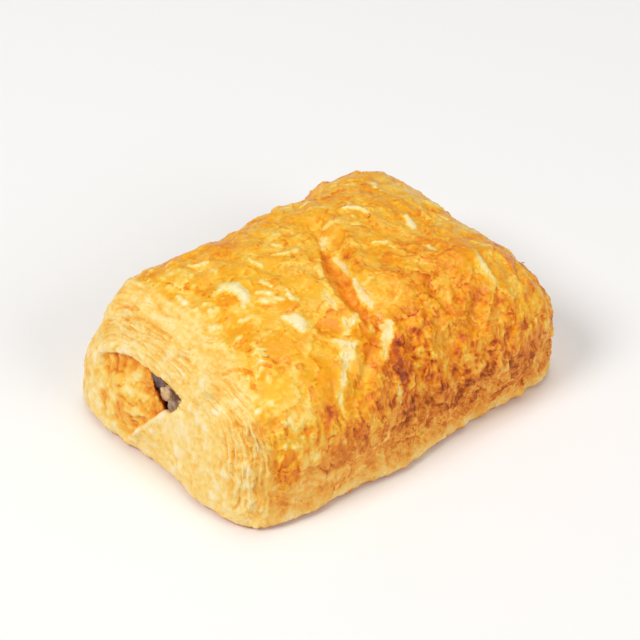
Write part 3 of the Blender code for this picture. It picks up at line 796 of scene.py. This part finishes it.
def browning(c, bake):
    """Degree of baking (0 raw, 1 dark), with painted shade and painted highlights worked in at places, and how much
    egg glaze and gloss lies on it.
    """
    p, noise = c.p, c.noise
    x, y, z = p.T
    broad = noise.rough(p / 17 + 40, 3)
    patches = noise.rough(p / 5.5 + 70, 3)
    tone = 0.475 + 0.06 * broad + 0.10 * patches + 0.15 * c.number
    tone += 0.035 * ramp(-10, 25, x) - 0.05 * ramp(-20, -34, x)
    tone += (0.01 - 0.08 * ramp(13, 4, z) * ramp(25, -5, x)) * c.dry
    tone += 0.05 * c.upright * (1 - c.dry)
    tone += 0.16 * c.grit - 0.12 * c.drawn + 0.12 * c.upright * noise.rough(p / 2.8 + 52, 3)
    tone += 0.06 * c.upright * ramp(12, 18, z) * ramp(36, 28, z) * ramp(10, -20, y)

    # Bare layers in the bands and strips, and the folds of both ends.
    raw = 0.215 + 0.08 * patches + 0.03 * broad - 0.10 * c.wide * c.calm - 0.06 * c.fine
    raw += 0.19 * c.slit - 0.18 * c.puffed + 0.10 * spot(p, (-46, -38, 16), (5, 8, 22))
    raw += 0.13 * c.strip - c.fleck
    tone = tone * (1 - c.bare) + c.bare * np.minimum(raw, 0.47)
    # At the closed end, a painted shadow line just under the edge of the flap, and a browner strip above it.
    tone += c.at_closed * (1 - c.closed) * (
        0.16 * bell(c.above, -0.9, 0.7) + 0.06 * ramp(2, 14, c.above) * ramp(24, 12, c.above))
    # Darker over the tongue, most towards the slot and behind the flap's edge: partly its own deeper baking, partly
    # painted shade in the mouth's recess. Painted shade under the lip, and the lip's roll paler, partly a painted
    # highlight along it.
    near_slot = ramp(11, 0, y) * ramp(9, 17, z)
    tone += c.inside * (0.11 + 0.12 * fading(c.behind, 1.6) + 0.22 * near_slot)
    tone -= c.dimple
    tone += 0.46 * c.shade - 0.10 * c.roll - 0.14 * c.crest - 0.12 * c.lobe

    # Pools; scorched spots, on the front side past the crease partly a painted shadow; edges and cracks of the
    # skin; and the crease.
    tone += 0.85 * c.pool * (c.level + 0.03 * patches - tone)
    # Dark spots: browning, and on the front side past the crease partly a painted shadow.
    scorch_and_shadow = 1 + 0.9 * patches + 1.1 * noise.rough(p / 2.3 + 47, 3)
    for centre, radii, strength in DARK_SPOTS.values():
        tone += strength * spot(p + 0.6 * c.wobble[:, None], centre, radii) * scorch_and_shadow
    # Paler on the raised edges of the plates and on the bubbles, darker in the gaps under the edges: partly torn
    # pale layers and glaze pooled low, partly painted highlight and painted shade.
    tone -= 0.15 * c.crisp + 0.30 * c.bubbles
    tone += 0.17 * c.crack + 0.04 * (c.lumpy * c.skin) + 0.15 * c.crackline
    # The crease takes an even amber: glaze run together in it, and partly painted shade.
    tone = tone * (1 - c.groove) + c.groove * (0.60 + 0.09 * patches)
    # Darker where the relief sinks and paler where it stands up: partly glaze gathered in the hollows, partly
    # painted shade.
    tone -= 0.07 * np.clip(c.height, -0.5, 0.8) * (1 - c.bare)

    # The pale foot, the underside, the pale layers in tears, and the blisters, pale in part as a painted highlight.
    foot = c.foot * (0.55 + 0.45 * ramp(-0.5, 0.3, noise.rough(p / 7 + 19, 3)))
    tone += foot * (0.11 + 0.12 * patches + 0.05 * c.sheets - tone) * 0.9
    tone = np.minimum(tone, 0.80 + 0.12 * ramp(0.80, 1.2, tone))
    tone = np.where(c.beneath > 0.5, 0.60 + 0.08 * patches, tone)
    tone -= 0.12 * c.halo
    tone = tone * (1 - c.pale) + c.pale * (0.08 + 0.08 * patches - 0.12 * np.clip(c.height, -1, 0.6))
    tone = tone * (1 - c.blown) + c.blown * (0.07 + 0.06 * patches)
    tone = np.clip(tone + bake, 0, 1)

    glaze = (1 - c.bare * 0.8) * (1 - c.dry) * (1 - c.beneath) * (1 - foot) * (1 - 0.8 * c.pale)
    glaze *= (0.65 + 0.35 * ramp(-0.5, 0.2, patches)) * (1 - 0.3 * c.groove)
    glaze = np.maximum(glaze, c.pool * (1 - c.bare) * np.maximum(1 - c.dry, ramp(-35, -38, x)))
    glaze = np.clip(glaze + 0.35 * c.inside, 0, 1)
    gloss = glaze * (1 - 0.75 * c.groove) * (1 - 0.5 * c.upright) * (1 - 0.5 * c.pool)
    # The slot's walls and the hollow behind them take a dark tone and no gloss: painted shade.
    shaded_inside = np.maximum(throat(p, c.n), 1 - c.shown)
    return tone + (SLOT_SHADE_TONE - tone) * shaded_inside, glaze, gloss * (1 - shaded_inside)


# --------------------------------------------------------------- materials
def screen(*color):
    """Linear colour of a screen colour given as 0 to 255."""
    shares = [v / 255 for v in color]
    return (*(v / 12.92 if v <= 0.04045 else ((v + 0.055) / 1.055) ** 2.4 for v in shares), 1.0)


BAKED_AT = (0.00, 0.20, 0.36, 0.50, 0.64, 0.78, 0.90, 1.00)    # raw to dark
GLAZED = (                   # screen colours of egg-glazed pastry at those degrees of baking
    (252, 236, 184), (251, 220, 118), (250, 198, 62), (247, 172, 26), (238, 136, 8), (206, 94, 2),
    (152, 60, 4), (92, 36, 8))
DRY = (                      # the same for pastry without glaze
    (254, 235, 194), (252, 218, 136), (249, 196, 96), (244, 172, 70), (228, 138, 44), (196, 100, 24),
    (146, 66, 16), (90, 40, 14))


class Nodes:
    """Short hand for building a tree of nodes."""

    def __init__(self, tree):
        self.tree = tree

    def node(self, kind, inputs, **settings):
        node = self.tree.nodes.new(kind)
        for key, value in settings.items():
            setattr(node, key, value)
        self.fill(node, inputs)
        return node

    def out(self, kind, inputs, output=0, **settings):
        """One output of a new node."""
        return self.node(kind, inputs, **settings).outputs[output]

    def fill(self, node, inputs):
        """Links each input, or sets it, by its name or number."""
        for key, value in inputs.items():
            if isinstance(value, bpy.types.NodeSocket):
                self.tree.links.new(value, node.inputs[key])
            else:
                node.inputs[key].default_value = value


class Shader(Nodes):
    """Short hand for a material's nodes."""

    def __init__(self, name):
        self.material = bpy.data.materials.new(name)
        self.material.use_nodes = True
        super().__init__(self.material.node_tree)
        self.place = self.out("ShaderNodeTexCoord", {}, "Object")

    def surface(self, inputs):
        """Finishes the material with the inputs of its surface."""
        self.fill(self.tree.nodes["Principled BSDF"], inputs)
        return self.material

    def attribute(self, name, output="Fac"):
        return self.out("ShaderNodeAttribute", {}, output, attribute_name=name)

    def math(self, operation, a, b, clamp=False):
        return self.out("ShaderNodeMath", {0: a, 1: b}, operation=operation, use_clamp=clamp)

    def times(self, a, b):
        return self.math("MULTIPLY", a, b)

    def between(self, value, low, high, to_low=0.0, to_high=1.0):
        return self.out("ShaderNodeMapRange", {"Value": value, "From Min": low, "From Max": high,
                                               "To Min": to_low, "To Max": to_high})

    def noise(self, scale, detail, roughness, where=None):
        return self.out("ShaderNodeTexNoise", {"Vector": where or self.place, "Scale": scale,
                                               "Detail": detail, "Roughness": roughness})

    def cells(self, where, scale, detail=0.0, **settings):
        return self.node("ShaderNodeTexVoronoi", {"Vector": where, "Scale": scale, "Detail": detail}, **settings)

    def vector(self, operation, a, b):
        return self.out("ShaderNodeVectorMath", {0: a, 3 if operation == "SCALE" else 1: b},
                        "Value" if operation == "DOT_PRODUCT" else "Vector", operation=operation)

    def bent(self, scale, reach):
        """Object place, shifted about by a noise of that scale."""
        shift = self.out("ShaderNodeTexNoise", {"Vector": self.place, "Scale": scale, "Detail": 2.0}, "Color")
        shift = self.vector("SUBTRACT", shift, (0.5, 0.5, 0.5))
        return self.vector("ADD", self.place, self.vector("SCALE", shift, reach))

    def total(self, *values):
        """Sum of values, each with the amount that it counts for."""
        whole = None
        for value, amount in values:
            part = self.times(value, amount)
            whole = part if whole is None else self.math("ADD", whole, part)
        return whole

    def stops(self, value, colors):
        node = self.node("ShaderNodeValToRGB", {"Fac": value})
        elements = node.color_ramp.elements
        while len(elements) < len(colors):
            elements.new(0.5)
        for element, place, color in zip(elements, BAKED_AT, colors):
            element.position = place
            element.color = screen(*color)
        return node.outputs["Color"]

    def mix(self, factor, a, b):
        return self.out("ShaderNodeMix", {0: factor, 6: a, 7: b}, 2, data_type="RGBA")

    def bump(self, height, strength=1.0, distance=0.001):
        return self.out("ShaderNodeBump", {"Strength": strength, "Distance": distance, "Height": height})


def crust_material(name="baked_pastry"):
    s = Shader(name)
    tone, glaze, gloss, banded, crumbly, drawn, pool = (
        s.attribute(mark) for mark in ("tone", "glaze", "gloss", "banded", "crumbly", "drawn", "pool"))
    plain = s.between(pool, 0.0, 1.0, 1.0, 0.3)
    busy = s.times(glaze, plain)
    speckle = s.noise(900.0, 4.0, 0.6)
    mottle = s.noise(260.0, 3.0, 0.55)
    lines = s.noise(1.15, 4.0, 0.65, where=s.attribute("seat", "Vector"))

    # Crumbs of dry dough, thin scales of baked skin, pin blisters in the glaze, each paler as a painted glint, and
    # drawn strands.
    crumbs = s.between(s.cells(s.bent(900.0, 0.0006), 900.0, 1.0).outputs["Distance"], 0.15, 0.75, 1.0, 0.0)
    where = s.bent(330.0, 0.0022)
    scales = s.cells(where, 270.0)
    number = scales.outputs["Color"]
    lean = s.vector("DOT_PRODUCT", s.vector("SUBTRACT", where, scales.outputs["Position"]),
                    s.vector("SUBTRACT", number, (0.5, 0.5, 0.5)))
    shade = s.between(s.out("ShaderNodeSeparateColor", {"Color": number}), 0.0, 1.0, -0.5, 0.5)
    pins_and_glints = s.between(s.cells(s.bent(500.0, 0.0008), 560.0).outputs["Distance"], 0.42, 0.10)
    pins_and_glints = s.times(s.times(pins_and_glints, s.between(s.noise(95.0, 2.0, 0.5), 0.50, 0.62)), glaze)
    strands = s.noise(1.0, 3.0, 0.6, where=s.vector("MULTIPLY", s.bent(150.0, 0.003), (520.0, 420.0, 90.0)))
    freckle = s.times(s.between(s.noise(430.0, 3.0, 0.6), 0.50, 0.62), busy)
    craze = s.cells(s.bent(600.0, 0.0012), 380.0, feature="DISTANCE_TO_EDGE").outputs["Distance"]
    craze = s.times(s.between(craze, 0.0, 0.07, 1.0, 0.0), s.between(mottle, 0.45, 0.6))
    craze = s.times(craze, busy)

    fleck = s.math("ADD", s.between(speckle, 0.3, 0.7, -0.07, 0.07), s.between(mottle, 0.3, 0.7, -0.08, 0.08))
    # The pin blisters are paler in tone: a painted glint on each.
    tone = s.math("ADD", tone, s.total(
        (fleck, plain), (s.between(lines, 0.32, 0.68, 0.10, -0.10), banded), (freckle, -0.07), (craze, 0.07),
        (s.between(crumbs, 0.0, 1.0, 0.12, -0.08), crumbly), (shade, s.times(busy, 0.08)), (pins_and_glints, -0.16),
        (s.between(strands, 0.3, 0.7, 0.13, -0.13), drawn)), clamp=True)
    rough = s.math("SUBTRACT", 0.60, s.times(glaze, 0.25))
    normal = s.bump(s.total(        # heights in millimetres
        (speckle, 0.07), (mottle, 0.16), (s.times(lines, banded), 0.35), (s.times(crumbs, crumbly), 0.27),
        (s.times(lean, busy), 110.0), (s.times(shade, busy), 0.10), (pins_and_glints, 0.14), (craze, -0.05),
        (freckle, 0.05), (s.times(strands, drawn), 0.40)))
    return s.surface({
        "Base Color": s.mix(glaze, s.stops(tone, DRY), s.stops(tone, GLAZED)),
        "Roughness": s.math("ADD", rough, s.between(mottle, 0.3, 0.7, -0.06, 0.08), clamp=True),
        "Coat Weight": s.times(gloss, 0.25), "Coat Roughness": 0.18, "Specular IOR Level": 0.25,
        "Subsurface Weight": 0.04, "Subsurface Radius": (1.0, 0.45, 0.18), "Subsurface Scale": 0.0012,
        "Normal": normal, "Coat Normal": normal})


def filling_material(settings):
    s = Shader("cooked_filling")
    grain = s.noise(900.0, 4.0, 0.6)
    fibre = s.noise(380.0, 2.0, 0.5)
    onion = s.mix(s.between(fibre, 0.4, 0.65), (*settings.onion, 1.0), screen(150, 122, 118))
    meat = s.mix(s.between(fibre, 0.35, 0.7), (*settings.meat, 1.0), screen(232, 196, 146))
    color = s.mix(s.attribute("kind"), onion, meat)
    return s.surface({
        "Base Color": s.mix(s.between(grain, 0.5, 0.75, 0.0, 0.6), color, screen(58, 30, 20)),
        "Roughness": s.between(grain, 0.3, 0.7, 0.25, 0.45), "Normal": s.bump(grain, 0.6, 0.0004)})


# --------------------------------------------------------------- operators
class PUFF_OT_crust(bpy.types.Operator):
    """Bake the crust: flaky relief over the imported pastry, with its browning"""
    bl_idname = "puff.crust"
    bl_label = "Bake Crust"

    def execute(self, context):
        settings = context.scene.puff_crust
        points, quads = remeshed("crust", settings.grain)
        points = relaxed(points, quads, 9) * MM
        c = baked_relief(points, normals_of(points, quads), settings)
        tone, glaze, gloss = browning(c, settings.bake)
        loose = np.clip(c.crisp * 0.5 + c.pale, 0, 1) * ramp(8, 20, points[:, 2]) * c.shown * (1 - c.inside)
        moved = points + c.n * c.height[:, None] + slot_shift(points)
        free = ramp(0.0, 1.2, points[:, 2])         # the underside stays flat
        moved[:, 2] = np.maximum(points[:, 2] + (moved[:, 2] - points[:, 2]) * free, 0.0)
        moved /= MM
        mesh = thinned("crust", moved, quads, settings.most_triangles)
        tree = search_tree(moved)
        nearest = [tree.find(v.co)[1] for v in mesh.vertices]
        for name, values in {"tone": tone, "glaze": glaze, "gloss": gloss, "loose": loose,
                             "banded": c.band * c.calm, "seat": c.seat, "crumbly": c.crumbly,
                             "drawn": c.strand, "pool": c.pool}.items():
            set_attribute(mesh, name, values[nearest])
        finished("crust_baked", mesh, crust_material(), node="crust")
        return {"FINISHED"}


class PUFF_OT_filling(bpy.types.Operator):
    """Cook the filling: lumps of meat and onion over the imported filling"""
    bl_idname = "puff.filling"
    bl_label = "Cook Filling"

    def execute(self, context):
        settings = context.scene.puff_filling
        noise = Noise(settings.seed)
        points, quads = remeshed("filling", settings.grain)
        points = relaxed(points, quads, 2) * MM
        gap, number = noise.plates(points / (settings.lump * MM), 0.6)[1::2]
        height = -0.1 - 0.9 * ramp(0.35, 0.0, gap) + 0.12 * noise.rough(points / 1.3, 2)
        corners = [points + normals_of(points, quads) * height[:, None]]
        faces, kinds = [triangles(quads)], [ramp(0.1, 0.3, number)]
        for index, (centre, radii, turn, meat) in enumerate(FILLING_PIECES):
            piece, sides = self.piece(noise, index, centre, radii, math.radians(turn))
            faces.append(sides + sum(map(len, corners)))
            corners.append(piece)
            kinds.append(np.full(len(piece), meat))
        mesh = bpy.data.meshes.new("filling")
        mesh.from_pydata((np.concatenate(corners) / MM).tolist(), [], np.concatenate(faces).tolist())
        set_attribute(mesh, "kind", np.concatenate(kinds))
        finished("filling_cooked", mesh, filling_material(settings), node="filling")
        return {"FINISHED"}

    def piece(self, noise, index, centre, radii, turn):
        """One cut piece of meat or onion: a rounded block with torn sides."""
        bm = bmesh.new()
        bmesh.ops.create_icosphere(bm, subdivisions=5, radius=1.0)
        unit = np.array([v.co for v in bm.verts])
        faces = np.array([[v.index for v in f.verts] for f in bm.faces])
        bm.free()
        block = unit / (abs(unit) ** 4).sum(1)[:, None] ** 0.25 * 0.92
        block += unit * (0.13 * noise.rough(unit * 1.6 + 9.7 * index, 3)
                         + 0.05 * noise.rough(unit * 6 + 3.1 * index, 2))[:, None]
        block *= np.array(radii)
        c, s = math.cos(turn), math.sin(turn)
        spin = np.array([[1, 0, 0], [0, c, -s], [0, s, c]])
        return block @ spin.T + np.array(centre), faces


class PUFF_OT_flakes(bpy.types.Operator):
    """Scatter the loose flakes: thin curled scales of pastry that cling to the crust"""
    bl_idname = "puff.flakes"
    bl_label = "Scatter Flakes"

    def execute(self, context):
        settings = context.scene.puff_flakes
        crust = bpy.data.objects.get("crust_baked")
        if crust is None:
            raise RuntimeError("the crust comes before its flakes")
        material = crust_material("loose_flake")
        flake = self.flake_shape()
        corners = len(flake.data.vertices)
        inputs = (("Count", "Float", settings.count_per_m2), ("Smallest", "Float", settings.smallest),
                  ("Largest", "Float", settings.largest), ("Seed", "Int", settings.seed),
                  ("Flake", "Object", flake), ("Material", "Material", material))
        tree = self.scatter_tree(inputs)
        sockets = {item.name: item.identifier for item in tree.interface.items_tree if item.in_out == "INPUT"}
        values = [(sockets[name], value) for name, kind, value in inputs]
        mesh = modified(crust.data.copy(), "NODES", values, node_group=tree)
        bpy.data.objects.remove(flake, do_unlink=True)
        for name in ("tone", "glaze", "loose"):
            mesh.attributes.remove(mesh.attributes[name])
        rng = np.random.default_rng(settings.seed)
        set_attribute(mesh, "tone", np.repeat(rng.uniform(0.25, 0.50, len(mesh.vertices) // corners), corners))
        set_attribute(mesh, "glaze", np.full(len(mesh.vertices), 0.3))
        mesh.name = "flakes"
        finished("flakes_loose", mesh, material)
        return {"FINISHED"}

    def scatter_tree(self, inputs):
        """Geometry nodes that strew flakes over a crust, thickest where it is loose."""
        tree = bpy.data.node_groups.new("FlakeScatter", "GeometryNodeTree")
        for name, kind in (("Geometry", "Geometry"), *(entry[:2] for entry in inputs)):
            tree.interface.new_socket(name, in_out="INPUT", socket_type="NodeSocket" + kind)
        tree.interface.new_socket("Geometry", in_out="OUTPUT", socket_type="NodeSocketGeometry")
        g = Nodes(tree)
        enter = g.node("NodeGroupInput", {}).outputs
        loose = g.out("GeometryNodeInputNamedAttribute", {"Name": "loose"}, "Attribute", data_type="FLOAT")
        density = g.out("ShaderNodeMath", {0: loose, 1: enter["Count"]}, operation="MULTIPLY")
        points = g.node("GeometryNodeDistributePointsOnFaces", {
            "Mesh": enter["Geometry"], "Density": density, "Seed": enter["Seed"]}).outputs
        flake = g.out("GeometryNodeObjectInfo", {"Object": enter["Flake"]}, "Geometry")
        size = g.out("FunctionNodeRandomValue", {
            2: enter["Smallest"], 3: enter["Largest"], "Seed": enter["Seed"]}, 1)
        turn = g.out("FunctionNodeRandomValue", {0: (-0.35, -0.35, 0.0), 1: (0.35, 0.35, 6.283)},
                     "Value", data_type="FLOAT_VECTOR")
        turned = g.out("FunctionNodeRotateRotation", {0: points["Rotation"], 1: turn}, rotation_space="LOCAL")
        flakes = g.out("GeometryNodeInstanceOnPoints", {
            "Points": points["Points"], "Instance": flake, "Rotation": turned, "Scale": size})
        real = g.out("GeometryNodeRealizeInstances", {"Geometry": flakes})
        painted = g.out("GeometryNodeSetMaterial", {"Geometry": real, "Material": enter["Material"]})
        g.node("NodeGroupOutput", {"Geometry": painted})
        return tree

    def flake_shape(self):
        """A curled scale with an uneven rim: three by three quads, 3 mm long and 2 mm wide, closed and thin."""
        rng = np.random.default_rng(12)
        grid = np.linspace(-1, 1, 4)
        a, b = np.repeat(grid, 4), np.tile(grid, 4)
        reach = np.where(np.maximum(abs(a), abs(b)) > 0.9, 1 + 0.12 * rng.normal(size=16), 1)
        across = np.stack([a, b], 1) * ((1 - 0.22 * a * a * b * b) * reach)[:, None]
        lift = 0.28 * (a * a) + 0.10 * b * a
        corners = [np.column_stack([across, lift + half]) * FLAKE_HALF for half in (0.06, -0.06)]
        top = [(k, k + 4, k + 5, k + 1) for k in range(11) if k % 4 < 3]
        ring = (0, 1, 2, 3, 7, 11, 15, 14, 13, 12, 8, 4)
        rim = [(a, b, b + 16, a + 16) for a, b in zip(ring, ring[1:] + ring[:1])]
        mesh = bpy.data.meshes.new("flake_shape")
        mesh.from_pydata(np.concatenate(corners).tolist(), [], [
            *(face for quad in top for face in (quad, tuple(k + 16 for k in reversed(quad)))), *rim])
        bm = bmesh.new()
        bm.from_mesh(mesh)
        bmesh.ops.recalc_face_normals(bm, faces=bm.faces)
        bm.to_mesh(mesh)
        bm.free()
        return bpy.data.objects.new("flake_shape", mesh)


class PUFF_OT_stage(bpy.types.Operator):
    """Set the stage: pale floor, soft studio light and the camera"""
    bl_idname = "puff.stage"
    bl_label = "Set Stage"

    def execute(self, context):
        settings, scene = context.scene.puff_stage, context.scene
        mesh = bpy.data.meshes.new("floor")
        mesh.from_pydata([(x * FLOOR_HALF, y * FLOOR_HALF, -FLOOR_DROP)
                          for x, y in ((-1, -1), (1, -1), (1, 1), (-1, 1))], [], [(0, 1, 2, 3)])
        mesh.materials.append(Shader("floor_paper").surface(
            {"Base Color": (*settings.floor, 1.0), "Roughness": 0.7}))
        in_scene("floor", mesh)

        scene.camera = self.placed("camera", bpy.data.cameras.new("camera"), settings.azimuth,
                                   settings.elevation, settings.distance)
        scene.camera.data.lens = settings.lens
        scene.camera.data.sensor_width = SENSOR_WIDTH
        for name, turn, height, size, power, tint in STUDIO_LIGHTS:
            data = bpy.data.lights.new(name, "AREA")
            data.shape = "DISK"
            data.size = size
            data.energy = power
            data.color = tint
            self.placed(name, data, settings.azimuth + math.radians(turn), math.radians(height), LIGHT_DISTANCE)

        world = bpy.data.worlds.new("studio")
        world.use_nodes = True
        Nodes(world.node_tree).fill(world.node_tree.nodes["Background"], {
            "Color": (1.0, 0.99, 0.97, 1.0), "Strength": settings.fill})
        scene.world = world
        scene.view_settings.view_transform = "Standard"
        return {"FINISHED"}

    def placed(self, name, data, around, up, distance):
        """A camera or a lamp that looks at the middle of the puff from that side and height."""
        low, high = (Vector(corner) for corner in CAD_BOX)
        away = Vector((math.sin(around) * math.cos(up), -math.cos(around) * math.cos(up), math.sin(up)))
        obj = in_scene(name, data)
        obj.location = (low + high) / 2 + away * distance
        obj.rotation_euler = (-away).to_track_quat("-Z", "Y").to_euler()
        return obj


class PUFF_PT_panel(bpy.types.Panel):
    """Lists the steps that dress the puff"""
    bl_label = "Chicken Puff"
    bl_idname = "PUFF_PT_panel"
    bl_space_type = "VIEW_3D"
    bl_region_type = "UI"
    bl_category = "Puff"

    def draw(self, context):
        scene = context.scene
        for step, group in ((PUFF_OT_crust, scene.puff_crust), (PUFF_OT_filling, scene.puff_filling),
                            (PUFF_OT_flakes, scene.puff_flakes), (PUFF_OT_stage, scene.puff_stage)):
            box = self.layout.box()
            for name in group.bl_rna.properties.keys():
                if name not in ("rna_type", "name"):
                    box.prop(group, name)
            box.operator(step.bl_idname)


CLASSES = (PuffCrustSettings, PuffFillingSettings, PuffFlakeSettings, PuffStageSettings,
           PUFF_OT_crust, PUFF_OT_filling, PUFF_OT_flakes, PUFF_OT_stage, PUFF_PT_panel)
GROUPS = {"puff_crust": PuffCrustSettings, "puff_filling": PuffFillingSettings,
          "puff_flakes": PuffFlakeSettings, "puff_stage": PuffStageSettings}


def register():
    for item in CLASSES:
        bpy.utils.register_class(item)
    for name, group in GROUPS.items():
        setattr(bpy.types.Scene, name, bpy.props.PointerProperty(type=group))


def unregister():
    for name in GROUPS:
        delattr(bpy.types.Scene, name)
    for item in reversed(CLASSES):
        bpy.utils.unregister_class(item)


def main():
    register()
    bpy.ops.puff.crust()
    bpy.ops.puff.filling()
    bpy.ops.puff.flakes()
    bpy.ops.puff.stage()


if __name__ == "__main__":
    main()
